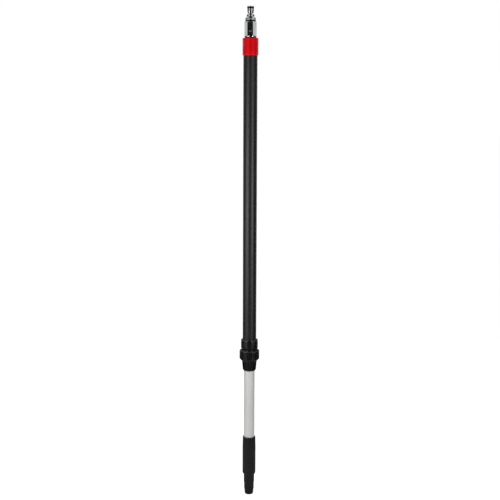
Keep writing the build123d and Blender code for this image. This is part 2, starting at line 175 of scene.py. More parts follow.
def outline_rows(outline):
    """(radius, height, edge) rows of a closed outline of (radius, height, rounding) corners."""
    rows = []
    for i, (r, z, rounding) in enumerate(outline):
        before = outline[i - 1][:2]
        after = outline[(i + 1) % len(outline)][:2]
        if rounding == 0:
            rows.append((r, z, 0.0))
            continue
        convex = (r - before[0]) * (after[1] - z) - (z - before[1]) * (after[0] - r) > 0
        points = arc(before, (r, z), after, rounding)
        rows += [(p.x, p.y, 1.0 if convex else 0.0) for p in points]
    return rows


def supported(rows):
    """The rows with one more beside each end of a long flat, so that it shades as flat."""
    made = []
    for i, (r, z, edge) in enumerate(rows):
        after = rows[(i + 1) % len(rows)]
        made.append((r, z, edge))
        length = math.hypot(after[0] - r, after[1] - z)
        if length < SUPPORT_LEAST:
            continue
        for share in (SUPPORT_REACH / length, 1 - SUPPORT_REACH / length):
            made.append((r + (after[0] - r) * share, z + (after[1] - z) * share, 0.0))
    return made


def add_rows(start, end, count):
    """Corners with no rounding, evenly spaced between two others."""
    step = 1.0 / (count + 1)
    return [
        (
            start[0] + (end[0] - start[0]) * step * (i + 1),
            start[1] + (end[1] - start[1]) * step * (i + 1),
            0,
        )
        for i in range(count)
    ]


def turned(name, outline, steps=TURN_STEPS, shape=None):
    """Closed outline turned about Z; shape(radius, height, angle) may change the radius."""
    rows = supported(outline_rows(outline))
    vertices = []
    edges = []
    for r, z, edge in rows:
        for k in range(steps):
            angle = 2 * math.pi * k / steps
            radius = shape(r, z, angle) if shape else r
            vertices.append((radius * math.cos(angle), radius * math.sin(angle), z))
            edges.append(edge)
    faces = []
    for i in range(len(rows)):
        this_row = i * steps
        next_row = (i + 1) % len(rows) * steps
        for k in range(steps):
            after = (k + 1) % steps
            faces.append((this_row + k, this_row + after, next_row + after, next_row + k))
    return mesh_object(name, vertices, faces, edges)


def mesh_object(name, vertices, faces, edges):
    """Smooth mesh with its sharp edges marked and its worn edges in an attribute."""
    mesh = bpy.data.meshes.new(name)
    mesh.from_pydata(vertices, [], faces)
    mesh.update()
    mesh.polygons.foreach_set("use_smooth", [True] * len(mesh.polygons))
    mesh.set_sharp_from_angle(angle=SHARP_ANGLE)
    worn = mesh.attributes.new("edge", "FLOAT", "POINT")
    worn.data.foreach_set("value", edges)
    piece = bpy.data.objects.new(name, mesh)
    bpy.context.scene.collection.objects.link(piece)
    return piece


def o_ring(name, outer_r, cord, centre_z, squeeze):
    """O-ring: round at a squeeze of 1, flatter-sided in its groove below that."""
    centre_r = outer_r - cord / 2
    outline = []
    for i in range(SEAL_STEPS):
        turn = 2 * math.pi * i / SEAL_STEPS
        across = math.copysign(abs(math.cos(turn)) ** squeeze, math.cos(turn))
        along = math.copysign(abs(math.sin(turn)) ** squeeze, math.sin(turn))
        outline.append((centre_r + cord / 2 * across, centre_z + cord / 2 * along, 0))
    return turned(name, outline)


def smooth_min(a, b, blend):
    """The smaller of two lengths, with the corner between them rounded."""
    share = max(blend - abs(a - b), 0.0) / blend
    return min(a, b) - share * share * blend / 4


def dress(piece, node, body, material):
    """The piece stands for a node, rides on its body and takes its finish."""
    piece.data.materials.append(material)
    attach(piece, body)
    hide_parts(node)


def radius_of(node):
    """Largest radius of a node about the pole's axis."""
    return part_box(node)[1].x


def heights_of(node):
    """Lowest and highest point of a node."""
    low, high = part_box(node)
    return low.z, high.z


# Materials. Ranges are of the noise that a pattern uses, and grain is in metres.
WHITE = (1.0, 1.0, 1.0)
NOISE_RANGE = (0.3, 0.7)
NOISE_SUM_RANGE = (0.7, 1.3)
WEAR_RANGE = (0.42, 0.62)
SMEAR_RANGE = (0.35, 0.65)
SMEAR_GLOSS_RANGE = (0.35, 0.75)
DUST_RANGE = (0.4, 0.75)
WEAR_PATCHES = (420, 420, 420)


def shader(name):
    """New node material with its Principled shader."""
    material = bpy.data.materials.new(name)
    material.use_nodes = True
    return material, material.node_tree, material.node_tree.nodes["Principled BSDF"]


def noise(tree, per_metre, detail=3.0):
    """Noise whose features have the given number per metre along each axis."""
    coordinates = tree.nodes.new("ShaderNodeTexCoord")
    mapping = tree.nodes.new("ShaderNodeMapping")
    mapping.inputs["Scale"].default_value = per_metre
    texture = tree.nodes.new("ShaderNodeTexNoise")
    texture.inputs["Scale"].default_value = 1.0
    texture.inputs["Detail"].default_value = detail
    tree.links.new(coordinates.outputs["Object"], mapping.inputs["Vector"])
    tree.links.new(mapping.outputs["Vector"], texture.inputs["Vector"])
    return texture.outputs["Fac"]


def remap(tree, value, from_low, from_high, to_low, to_high):
    """Value moved from one range to another and held inside it."""
    node = tree.nodes.new("ShaderNodeMapRange")
    node.inputs["From Min"].default_value = from_low
    node.inputs["From Max"].default_value = from_high
    node.inputs["To Min"].default_value = to_low
    node.inputs["To Max"].default_value = to_high
    tree.links.new(value, node.inputs["Value"])
    return node.outputs["Result"]


def worked_out(tree, operation, a, b):
    """Result of one operation on two values."""
    node = tree.nodes.new("ShaderNodeMath")
    node.operation = operation
    tree.links.new(a, node.inputs[0])
    tree.links.new(b, node.inputs[1])
    return node.outputs["Value"]


def times(tree, a, b):
    """Product of two values."""
    return worked_out(tree, "MULTIPLY", a, b)


def plus(tree, a, b):
    """Sum of two values."""
    return worked_out(tree, "ADD", a, b)


def mixed(tree, factor, a, b):
    """Colour between a and b, each a colour or another mix."""
    node = tree.nodes.new("ShaderNodeMix")
    node.data_type = "RGBA"
    tree.links.new(factor, node.inputs["Factor"])
    for socket, colour in ((node.inputs[6], a), (node.inputs[7], b)):
        if isinstance(colour, bpy.types.NodeSocket):
            tree.links.new(colour, socket)
        else:
            socket.default_value = (*colour, 1.0)
    return node.outputs[2]


def edge_wear(tree, amount):
    """Worn share of the surface: patches along the piece's rounded edges."""
    attribute = tree.nodes.new("ShaderNodeAttribute")
    attribute.attribute_name = "edge"
    patches = remap(tree, noise(tree, WEAR_PATCHES), *WEAR_RANGE, 0.0, amount)
    return times(tree, attribute.outputs["Fac"], patches)


def bump(tree, bsdf, height, strength, distance):
    """Surface relief from a height."""
    node = tree.nodes.new("ShaderNodeBump")
    node.inputs["Strength"].default_value = strength
    node.inputs["Distance"].default_value = distance
    tree.links.new(height, node.inputs["Height"])
    tree.links.new(node.outputs["Normal"], bsdf.inputs["Normal"])


def anodised(name, dark, light, worn, metallic, specular, rough_low, rough_high):
    """Drawn and anodised tube: fine lines along it, soft mottling and rubbed edges."""
    material, tree, bsdf = shader(name)
    lines = noise(tree, (2600, 2600, 5), 4.0)
    mottle = noise(tree, (60, 60, 14), 2.0)
    drawn = remap(tree, lines, *NOISE_RANGE, 0.35, 1.0)
    clouded = remap(tree, mottle, *NOISE_RANGE, 0.2, 1.0)
    colour = mixed(tree, times(tree, drawn, clouded), dark, light)
    wear = edge_wear(tree, 0.35)
    tree.links.new(mixed(tree, wear, colour, worn), bsdf.inputs["Base Color"])
    rough = remap(tree, plus(tree, lines, mottle), *NOISE_SUM_RANGE, rough_low, rough_high)
    tree.links.new(rough, bsdf.inputs["Roughness"])
    bsdf.inputs["Metallic"].default_value = metallic
    bsdf.inputs["Specular IOR Level"].default_value = specular
    bump(tree, bsdf, lines, strength=0.25, distance=0.00003)
    return material


def moulded(name, dark, light, worn, rough_low, rough_high, grain_height, specular, tint=WHITE):
    """Moulded plastic: fine spark-eroded grain, faint flow marks and rubbed edges."""
    material, tree, bsdf = shader(name)
    grain = noise(tree, (3200, 3200, 3200), 2.0)
    flow = noise(tree, (90, 90, 35), 3.0)
    colour = mixed(tree, remap(tree, flow, *NOISE_RANGE, 0.0, 1.0), dark, light)
    wear = edge_wear(tree, 0.5)
    tree.links.new(mixed(tree, wear, colour, worn), bsdf.inputs["Base Color"])
    rough = remap(tree, plus(tree, grain, flow), *NOISE_SUM_RANGE, rough_low, rough_high)
    tree.links.new(rough, bsdf.inputs["Roughness"])
    bsdf.inputs["Specular IOR Level"].default_value = specular
    bsdf.inputs["Specular Tint"].default_value = (*tint, 1.0)
    bump(tree, bsdf, grain, strength=0.3, distance=grain_height)
    return material


def plated(name, dark, light, rough_low, rough_high):
    """Bright metal: clean plating with faint smears and turning lines."""
    material, tree, bsdf = shader(name)
    smears = noise(tree, (140, 140, 60), 4.0)
    lines = noise(tree, (40, 40, 5200), 2.0)
    colour = mixed(tree, remap(tree, smears, *SMEAR_RANGE, 0.0, 1.0), dark, light)
    tree.links.new(colour, bsdf.inputs["Base Color"])
    rough = remap(tree, smears, *SMEAR_GLOSS_RANGE, rough_low, rough_high)
    tree.links.new(rough, bsdf.inputs["Roughness"])
    bsdf.inputs["Metallic"].default_value = 1.0
    bump(tree, bsdf, lines, strength=0.08, distance=0.00001)
    return material


def rubber(name):
    """Black seal rubber with a dull, slightly dusty surface."""
    material, tree, bsdf = shader(name)
    dust = noise(tree, (700, 700, 700), 4.0)
    dusty = remap(tree, dust, *DUST_RANGE, 0.0, 1.0)
    clean_colour = (0.002, 0.002, 0.0022)
    dusty_colour = (0.006, 0.0058, 0.0056)
    colour = mixed(tree, dusty, clean_colour, dusty_colour)
    tree.links.new(colour, bsdf.inputs["Base Color"])
    rough = remap(tree, dust, *NOISE_RANGE, 0.42, 0.62)
    tree.links.new(rough, bsdf.inputs["Roughness"])
    bsdf.inputs["Specular IOR Level"].default_value = 0.12
    bump(tree, bsdf, dust, strength=0.2, distance=0.00003)
    return material


black_anodised = anodised(
    "black_anodised",
    dark=(0.004, 0.0035, 0.0045),
    light=(0.012, 0.0107, 0.0132),
    worn=(0.16, 0.16, 0.17),
    metallic=0.0,
    specular=0.42,
    rough_low=0.37,
    rough_high=0.46,
)
bright_anodised = anodised(
    "bright_anodised",
    dark=(0.55, 0.55, 0.545),
    light=(0.65, 0.65, 0.635),
    worn=(0.76, 0.76, 0.75),
    metallic=0.12,
    specular=0.5,
    rough_low=0.44,
    rough_high=0.56,
)
plug_aluminium = anodised(
    "plug_aluminium",
    dark=(0.52, 0.52, 0.53),
    light=(0.66, 0.66, 0.67),
    worn=(0.80, 0.80, 0.80),
    metallic=1.0,
    specular=0.5,
    rough_low=0.30,
    rough_high=0.45,
)
red_plastic = moulded(
    "red_plastic",
    dark=(0.60, 0.0012, 0.005),
    light=(0.68, 0.0022, 0.008),
    worn=(0.78, 0.05, 0.05),
    rough_low=0.20,
    rough_high=0.30,
    grain_height=0.00001,
    specular=1.0,
    tint=(1.0, 0.12, 0.12),
)
black_plastic = moulded(
    "black_plastic",
    dark=(0.0014, 0.0012, 0.0011),
    light=(0.0032, 0.0028, 0.0025),
    worn=(0.035, 0.033, 0.031),
    rough_low=0.25,
    rough_high=0.34,
    grain_height=0.00002,
    specular=0.72,
)
white_acetal = moulded(
    "white_acetal",
    dark=(0.70, 0.69, 0.66),
    light=(0.80, 0.79, 0.76),
    worn=(0.85, 0.85, 0.83),
    rough_low=0.30,
    rough_high=0.42,
    grain_height=0.00002,
    specular=0.5,
)
chrome = plated(
    "chrome",
    dark=(0.44, 0.45, 0.465),
    light=(0.52, 0.53, 0.54),
    rough_low=0.03,
    rough_high=0.07,
)
pin_steel = plated(
    "pin_steel",
    dark=(0.26, 0.26, 0.26),
    light=(0.33, 0.33, 0.325),
    rough_low=0.07,
    rough_high=0.14,
)
seal_rubber = rubber("seal_rubber")


# Pieces that stand for nodes.
def tube(name, node, wall, body, material):
    """Plain tube with its ends' edges broken."""
    outer_r = radius_of(node)
    inner_r = outer_r - wall
    foot, top = heights_of(node)
    broken = 0.25 * MM
    outline = [(inner_r, foot, 0), (outer_r, foot, broken)]
    outline += add_rows((outer_r, foot), (outer_r, top), TUBE_ROWS)
    outline += [(outer_r, top, broken), (inner_r, top, 0)]
    dress(turned(name, outline), node, body, material)


def tool_cone():
    """Stepped tool cone with soft moulded edges, its socket and its water bore."""
    foot, rim = heights_of("pole_cone")
    side_r = radius_of("pole_cone")
    tube_r = radius_of("inner_tube") + CLOSE_GAP
    spigot_r = radius_of("cone_o_ring")
    bore_r = 5.0 * MM
    socket_floor = heights_of("inner_tube")[0]
    spigot_top = socket_floor + 38.0 * MM
    lower_land = foot + 12.2 * MM
    land_step = lower_land + 12.2 * MM
    upper_land = land_step + 2.4 * MM
    shoulder = upper_land + 15.2 * MM
    side = shoulder + 5.3 * MM
    rim_taper = side + 57.1 * MM
    seal_low, seal_high = heights_of("tip_o_ring")
    groove_depth = 1.85 * MM
    groove_r = radius_of("tip_o_ring") - groove_depth
    tip_r = 8.55 * MM
    tip_top_r = 9.95 * MM
    tip_bevel = 0.7 * MM
    taper = (tip_top_r - tip_r) / (lower_land - foot - tip_bevel)
    groove_low = seal_low - GROOVE_GAP
    groove_high = seal_high + GROOVE_GAP
    groove_low_r = tip_r + taper * (groove_low - foot - tip_bevel)
    groove_high_r = tip_r + taper * (groove_high - foot - tip_bevel)
    lower_land_r = 10.3 * MM
    upper_land_r = 11.0 * MM
    rim_taper_r = 13.3 * MM
    rim_r = 12.3 * MM
    rim_bevel = 1.0 * MM
    soft = 0.6 * MM
    rim_taper_soft = 110.0 * MM
    rows_end = rim_taper - 12.0 * MM
    outline = [
        (bore_r, foot, 0.3 * MM),
        (tip_r - tip_bevel, foot, 0.3 * MM),
        (tip_r, foot + tip_bevel, 0.4 * MM),
        (groove_low_r, groove_low, 0.15 * MM),
        (groove_r, groove_low, 0),
        (groove_r, groove_high, 0),
        (groove_high_r, groove_high, 0.15 * MM),
        (tip_top_r, lower_land, 0.3 * MM),
        (lower_land_r, lower_land, 0.35 * MM),
        (lower_land_r, land_step, soft),
        (upper_land_r, upper_land, soft),
        (upper_land_r, shoulder, 1.2 * MM),
        (side_r, side, 1.8 * MM),
        *add_rows((side_r, side), (side_r, rows_end), CONE_SIDE_ROWS),
        (side_r, rim_taper, rim_taper_soft),
        (rim_taper_r, rim - rim_bevel, 0.8 * MM),
        (rim_r, rim, 0.5 * MM),
        (tube_r, rim, 0.2 * MM),
        (tube_r, socket_floor, 0),
        (spigot_r, socket_floor, 0),
        (spigot_r, spigot_top, 0),
        (bore_r, spigot_top, 0),
    ]
    piece = turned("tool_cone", outline)
    screw_seat(piece)
    dress(piece, "pole_cone", "inner_pole", black_plastic)


def turned_along_y(name, rows, centre_z):
    """Closed solid of (radius, y) rows turned about a line along Y."""
    steps = SCREW_STEPS
    vertices = []
    for r, y in rows:
        for k in range(steps):
            angle = 2 * math.pi * k / steps
            vertices.append((r * math.cos(angle), y, centre_z + r * math.sin(angle)))
    faces = []
    for i in range(len(rows) - 1):
        this_row = i * steps
        next_row = this_row + steps
        for k in range(steps):
            after = (k + 1) % steps
            faces.append((this_row + k, next_row + k, next_row + after, this_row + after))
    faces.append(tuple(range(steps)))
    faces.append(tuple(reversed(range((len(rows) - 1) * steps, len(rows) * steps))))
    return mesh_object(name, vertices, faces, [0.0] * len(vertices))


def cut_out(piece, cutter):
    """Takes the cutter's shape out of the piece."""
    cut = piece.modifiers.new("cut", "BOOLEAN")
    cut.operation = "DIFFERENCE"
    cut.solver = "EXACT"
    cut.object = cutter
    bpy.context.view_layer.update()
    graph = bpy.context.evaluated_depsgraph_get()
    made = bpy.data.meshes.new_from_object(piece.evaluated_get(graph))
    made.set_sharp_from_angle(angle=SHARP_ANGLE)
    piece.modifiers.clear()
    piece.data = made
    bpy.data.objects.remove(cutter)


def screw_seat(piece):
    """Countersunk hole for the screw at the cone's back."""
    low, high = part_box("cone_screw")
    head_gap = 0.12 * MM
    end_gap = 0.1 * MM
    head_r = (high.x - low.x) / 2 + head_gap
    shank_r = 1.9 * MM
    face = high.y
    past = 1.0 * MM
    rows = [
        (shank_r, low.y - end_gap),
        (shank_r, face - SCREW_HEAD_DEPTH),
        (head_r, face),
        (head_r, face + past),
    ]
    cut_out(piece, turned_along_y("screw_cutter", rows, (low.z + high.z) / 2))


def cone_screw():
    """Countersunk screw with a cross recess."""
    low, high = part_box("cone_screw")
    centre_z = (low.z + high.z) / 2
    head_r = (high.x - low.x) / 2
    shank_r = 1.8 * MM
    face = high.y
    rim = 0.15 * MM
    rows = [
        (shank_r, low.y),
        (shank_r, face - SCREW_HEAD_DEPTH),
        (head_r, face - rim),
        (head_r - rim, face),
    ]
    piece = turned_along_y("screw", rows, centre_z)
    near = 0.45 * MM
    far = 1.8 * MM
    recess_depth = 1.3 * MM
    recess_taper = 0.6
    corners = [(near, far), (near, near), (far, near), (far, -near), (near, -near), (near, -far)]
    corners += [(-x, -z) for x, z in corners]
    count = len(corners)
    vertices = []
    for y, scale in ((face + rim, 1.0), (face - recess_depth, recess_taper)):
        vertices += [(x * scale, y, centre_z + z * scale) for x, z in corners]
    faces = [(k, count + k, count + (k + 1) % count, (k + 1) % count) for k in range(count)]
    faces += [tuple(range(count)), tuple(reversed(range(count, 2 * count)))]
    cut_out(piece, mesh_object("recess_cutter", vertices, faces, [0.0] * len(vertices)))
    dress(piece, "cone_screw", "inner_pole", pin_steel)


def grip_nut():
    """Lock nut with rounded grip ribs round its drum and shallow flutes down its skirt."""
    foot, top = heights_of("lock_nut")
    drum_r = radius_of("lock_nut")
    skirt_foot = foot + 2.6 * MM
    shoulder = skirt_foot + 18.0 * MM
    drum = shoulder + 5.1 * MM
    crown = 1.5 * MM
    bore_floor = heights_of("thrust_ring")[0]
    bore_r = 15.3 * MM
    passing_r = radius_of("inner_tube") + PASSING_GAP
    wiper_low, wiper_high = heights_of("wiper_ring")
    wiper_r = radius_of("wiper_ring") + CLOSE_GAP
    foot_r = passing_r + 0.6 * MM
    skirt_foot_r = 13.75 * MM
    skirt_top_r = 15.3 * MM
    rib_count = 20
    groove_depth = 1.3 * MM
    groove_blend = 0.25 * MM
    rib_share = 0.34
    flank_share = 0.12
    flute_count = 8
    flute_r = 2.2 * MM
    flute_depth = 0.7 * MM
    flute_fade = 4.0 * MM
    flute_blend = 0.2 * MM
    flute_end = foot + 18.0 * MM
    flat_foot = 0.1 * MM

    def grooved(r, angle):
        turn = (angle * rib_count / (2 * math.pi)) % 1.0
        from_rib = min(turn, 1.0 - turn)
        share = min(max((from_rib - rib_share / 2) / flank_share, 0.0), 1.0)
        share = share * share * (3 - 2 * share)
        return smooth_min(r, drum_r - groove_depth * share, groove_blend)

    def fluted(r, z, angle):
        fade = min(max((flute_end - z) / flute_fade, 0.0), 1.0)
        depth = flute_depth * math.sqrt(fade)
        if depth <= 0:
            return r
        pitch = 2 * math.pi / flute_count
        off = (angle + pitch / 2) % pitch - pitch / 2
        centre = r + flute_r - depth
        across = centre * math.sin(off)
        if abs(across) >= flute_r:
            return r
        wall = centre * math.cos(off) - math.sqrt(flute_r * flute_r - across * across)
        return smooth_min(r, wall, flute_blend)

    def shape(r, z, angle):
        if r < foot_r:
            return r
        if z > shoulder:
            return grooved(r, angle) if r > bore_r * JUST_OUTSIDE else r
        return fluted(r, z, angle) if z > foot + flat_foot else r

    outline = [
        (passing_r, foot, 0.1 * MM),
        (foot_r, foot, 0.15 * MM),
        (skirt_foot_r, skirt_foot, 0.8 * MM),
        *add_rows((skirt_foot_r, skirt_foot), (skirt_top_r, shoulder), SKIRT_ROWS),
        (skirt_top_r, shoulder, 0.8 * MM),
        *add_rows((skirt_top_r, shoulder), (drum_r, drum), SHOULDER_ROWS),
        (drum_r, drum, 1.2 * MM),
        *add_rows((drum_r, drum), (drum_r, top - crown), DRUM_ROWS),
        (drum_r, top - crown, 0.9 * MM),
        (drum_r - crown, top, 0.7 * MM),
        (bore_r, top, 0.3 * MM),
        (bore_r, bore_floor, 0),
        (passing_r, bore_floor, 0),
        (passing_r, wiper_high, 0),
        (wiper_r, wiper_high, 0),
        (wiper_r, wiper_low, 0),
        (passing_r, wiper_low, 0),
    ]
    piece = turned("grip_nut", outline, rib_count * STEPS_PER_RIB, shape)
    dress(piece, "lock_nut", "lock_nut", black_plastic)


def clamp():
    """Clamp body with rounded edges and the nut's thread round its neck."""
    neck_end, top = heights_of("clamp_body")
    clamp_r = radius_of("clamp_body")
    neck_r = 15.0 * MM
    clamp_foot = neck_end + 15.3 * MM
    foot_r = 15.25 * MM
    foot_chamfer = 3.8 * MM
    socket_floor = heights_of("guide_bush")[0]
    socket_r = radius_of("outer_tube") + CLOSE_GAP
    passing_r = radius_of("inner_tube") + PASSING_GAP
    web = heights_of("collet")[1] + PASSING_GAP
    mouth_r = 13.45 * MM
    throat_r = 12.2 * MM
    lead = 3.0 * MM
    thread_depth = 0.6 * MM
    root_share = 0.12
    flank_share = 0.2
    bevel = 1.1 * MM

    def shape(r, z, angle):
        if r < neck_r * JUST_INSIDE or z > clamp_foot:
            return r
        turn = (z / lead - angle / (2 * math.pi)) % 1.0
        cut = min(max((abs(turn - 0.5) - root_share) / flank_share, 0.0), 1.0)
        return r - thread_depth * cut

    outline = [
        (mouth_r, neck_end, 0),
        (neck_r, neck_end, 0),
        *add_rows((neck_r, neck_end), (neck_r, clamp_foot), THREAD_ROWS),
        (neck_r, clamp_foot, 0),
        (foot_r, clamp_foot, 0.2 * MM),
        (clamp_r, clamp_foot + foot_chamfer, 1.0 * MM),
        (clamp_r, top - bevel, 1.0 * MM),
        (clamp_r - bevel, top, 0.8 * MM),
        (socket_r, top, 0.25 * MM),
        (socket_r, socket_floor, 0),
        (passing_r, socket_floor, 0),
        (passing_r, web, 0),
        (throat_r, web, 0),
    ]
    piece = turned("clamp", outline, shape=shape)
    dress(piece, "clamp_body", "outer_pole", black_plastic)


def collar():
    """Red end collar with softened moulded edges and a sloping shoulder."""
    foot, top = heights_of("end_collar")
    collar_r = radius_of("end_collar")
    tube_r = radius_of("outer_tube") + CLOSE_GAP
    tube_top = heights_of("outer_tube")[1]
    stud_r = 8.05 * MM
    shoulder = top - 0.8 * MM
    lip_r = 11.5 * MM
    foot_inset = 1.0 * MM
    foot_bevel = 1.4 * MM
    bevel = 0.4 * MM
    outline = [
        (tube_r, foot, 0.2 * MM),
        (collar_r - foot_inset, foot, 0.4 * MM),
        (collar_r, foot + foot_bevel, 1.2 * MM),
        (collar_r, shoulder - bevel, bevel),
        (collar_r - bevel, shoulder, bevel),
        (lip_r, top, 0.6 * MM),
        (stud_r, top, 0),
        (stud_r, tube_top, 0),
        (tube_r, tube_top, 0),
    ]
    dress(turned("collar", outline), "end_collar", "outer_pole", red_plastic)


def barrel():
    """Chromed swivel barrel, rounded at its foot, on its stud."""
    stud_end, top = heights_of("swivel_body")
    barrel_r = radius_of("swivel_body")
    barrel_foot = heights_of("end_collar")[1]
    stud_r = 8.0 * MM
    stud_bore_r = 4.0 * MM
    spigot_r = 8.98 * MM
    spigot_floor = barrel_foot + 2.1 * MM
    foot_r = 10.9 * MM
    foot_bevel = 1.7 * MM
    rim_r = 11.9 * MM
    rim_bevel = 0.6 * MM
    outline = [
        (stud_bore_r, stud_end, 0),
        (stud_r, stud_end, 0),
        (stud_r, barrel_foot, 0),
        (foot_r, barrel_foot, 0.3 * MM),
        (barrel_r, barrel_foot + foot_bevel, 2.6 * MM),
        (barrel_r, top - rim_bevel, 0.35 * MM),
        (rim_r, top, 0.3 * MM),
        (spigot_r, top, 0.2 * MM),
        (spigot_r, spigot_floor, 0),
        (stud_bore_r, spigot_floor, 0),
    ]
    dress(turned("barrel", outline), "swivel_body", "outer_pole", chrome)


def pin_heads():
    """Domed retaining pins at the barrel's front and back."""
    low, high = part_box("swivel_pins")
    centre_z = (low.z + high.z) / 2
    pin_r = (high.z - low.z) / 2
    barrel_r = radius_of("swivel_body")
    pin_length = 4.6 * MM
    tip = barrel_r - pin_length
    dome = high.y - barrel_r
    outline = [(0.0, tip), (pin_r, tip), (pin_r, barrel_r)]
    for i in range(1, DOME_STEPS + 1):
        angle = math.pi / 2 * i / DOME_STEPS
        outline.append((pin_r * math.cos(angle), barrel_r + dome * math.sin(angle)))
    steps = PIN_STEPS
    vertices = []
    faces = []
    for side in (-1, 1):
        start = len(vertices)
        for r, y in outline:
            for k in range(steps):
                angle = side * 2 * math.pi * k / steps
                vertices.append((r * math.cos(angle), side * y, centre_z + r * math.sin(angle)))
        for i in range(len(outline) - 1):
            this_row = start + i * steps
            next_row = this_row + steps
            for k in range(steps):
                after = (k + 1) % steps
                faces.append((this_row + after, this_row + k, next_row + k, next_row + after))
    piece = mesh_object("pin_heads", vertices, faces, [0.0] * len(vertices))
    dress(piece, "swivel_pins", "outer_pole", pin_steel)


def nipple():
    """Chromed hose nipple with its flange, ridge, waist, stem and lip."""
    spigot_end, top = heights_of("hose_nipple")
    flange_foot = heights_of("dust_ring")[1]
    flange_r = radius_of("hose_nipple")
    bore_r = 3.2 * MM
    spigot_r = 8.9 * MM
    pin_groove_r = 7.4 * MM
    pin_low, pin_high = heights_of("swivel_pins")
    flange_top = flange_foot + 4.0 * MM
    ridge = flange_top + 2.7 * MM
    ridge_top = ridge + 3.6 * MM
    waist = ridge_top + 2.7 * MM
    waist_top = waist + 1.2 * MM
    stem = waist_top + 2.0 * MM
    seal_low, seal_high = heights_of("nipple_o_ring")
    groove_low = seal_low - GROOVE_GAP
    groove_high = seal_high + GROOVE_GAP
    groove_depth = 2.65 * MM
    groove_r = radius_of("nipple_o_ring") - groove_depth
    seat_r = 8.25 * MM
    ridge_r = 7.75 * MM
    waist_r = 5.6 * MM
    stem_r = 6.45 * MM
    lip_thickness = 1.7 * MM
    lip_r = 6.7 * MM
    lip_bevel = 0.5 * MM
    lip_top_r = 6.2 * MM
    outline = [
        (bore_r, spigot_end, 0),
        (spigot_r, spigot_end, 0),
        (spigot_r, pin_low - PIN_WAY, 0),
        (pin_groove_r, pin_low - PIN_WAY, 0),
        (pin_groove_r, pin_high + PIN_WAY, 0),
        (spigot_r, pin_high + PIN_WAY, 0),
        (spigot_r, flange_foot, 0),
        (flange_r, flange_foot, 0.35 * MM),
        (flange_r, flange_top, 0.45 * MM),
        (seat_r, ridge, 0.3 * MM),
        (ridge_r, ridge, 0.2 * MM),
        (ridge_r, ridge_top, 0.5 * MM),
        (waist_r, waist, 1.0 * MM),
        (waist_r, waist_top, 0.6 * MM),
        (stem_r, stem, 0.8 * MM),
        (stem_r, groove_low, 0.15 * MM),
        (groove_r, groove_low, 0),
        (groove_r, groove_high, 0),
        (stem_r, groove_high, 0),
        (stem_r, top - lip_thickness, 0),
        (lip_r, top - lip_thickness, 0.2 * MM),
        (lip_r, top - lip_bevel, 0.3 * MM),
        (lip_top_r, top, 0.25 * MM),
        (bore_r, top, 0.4 * MM),
    ]
    outline = [corner for i, corner in enumerate(outline) if corner[:2] != outline[i - 1][:2]]
    dress(turned("nipple", outline), "hose_nipple", "nipple", chrome)


def seals():
    """The two O-rings that show, and the dust ring under the flange."""
    for name, node, body, cord, squeeze in (
        ("nipple_seal", "nipple_o_ring", "nipple", 2.6 * MM, 0.55),
        ("tip_seal", "tip_o_ring", "inner_pole", 1.8 * MM, 1.0),
    ):
        low, high = heights_of(node)
        ring = o_ring(name, radius_of(node), cord, (low + high) / 2, squeeze)
        dress(ring, node, body, seal_rubber)
    low, high = heights_of("dust_ring")
    outer_r = radius_of("dust_ring")
    inner_r = 8.95 * MM
    outline = [
        (inner_r, low, 0),
        (outer_r, low, 0.5 * MM),
        (outer_r, high, 0.5 * MM),
        (inner_r, high, 0),
    ]
    dress(turned("dust_seal", outline), "dust_ring", "nipple", seal_rubber)


def finish_nodes():
    """Materials of the CAD's own meshes, by their slots."""
    by_slot = {
        "black_anodised": black_anodised,
        "bright_anodised": bright_anodised,
        "plug_aluminium": plug_aluminium,
        "red_plastic": red_plastic,
        "chrome": chrome,
        "black_plastic": black_plastic,
        "white_acetal": white_acetal,
        "seal_rubber": seal_rubber,
        "pin_steel": pin_steel,
    }
    for subpart in frame["record"]["subparts"]:
        node = frame["nodes"][subpart["node"]]
        material = by_slot[subpart["material_slot"]]
        if node.material_slots:
            for place in node.material_slots:
                place.material = material
        else:
            node.data.materials.append(material)


# Studio.
def world():
    """White to the camera and in reflections, and a plain level on the object."""
    scene_world = bpy.data.worlds.new("studio")
    bpy.context.scene.world = scene_world
    scene_world.use_nodes = True
    tree = scene_world.node_tree
    tree.nodes.clear()
    path = tree.nodes.new("ShaderNodeLightPath")
    seen = plus(tree, path.outputs["Is Camera Ray"], path.outputs["Is Glossy Ray"])
    seen = plus(tree, seen, path.outputs["Is Transmission Ray"])
    strength = remap(tree, seen, 0.0, 1.0, AMBIENT_STRENGTH, BACKGROUND_WHITE)
    background = tree.nodes.new("ShaderNodeBackground")
    background.inputs["Color"].default_value = (1.0, 1.0, 1.0, 1.0)
    output = tree.nodes.new("ShaderNodeOutputWorld")
    tree.links.new(strength, background.inputs["Strength"])
    tree.links.new(background.outputs["Background"], output.inputs["Surface"])


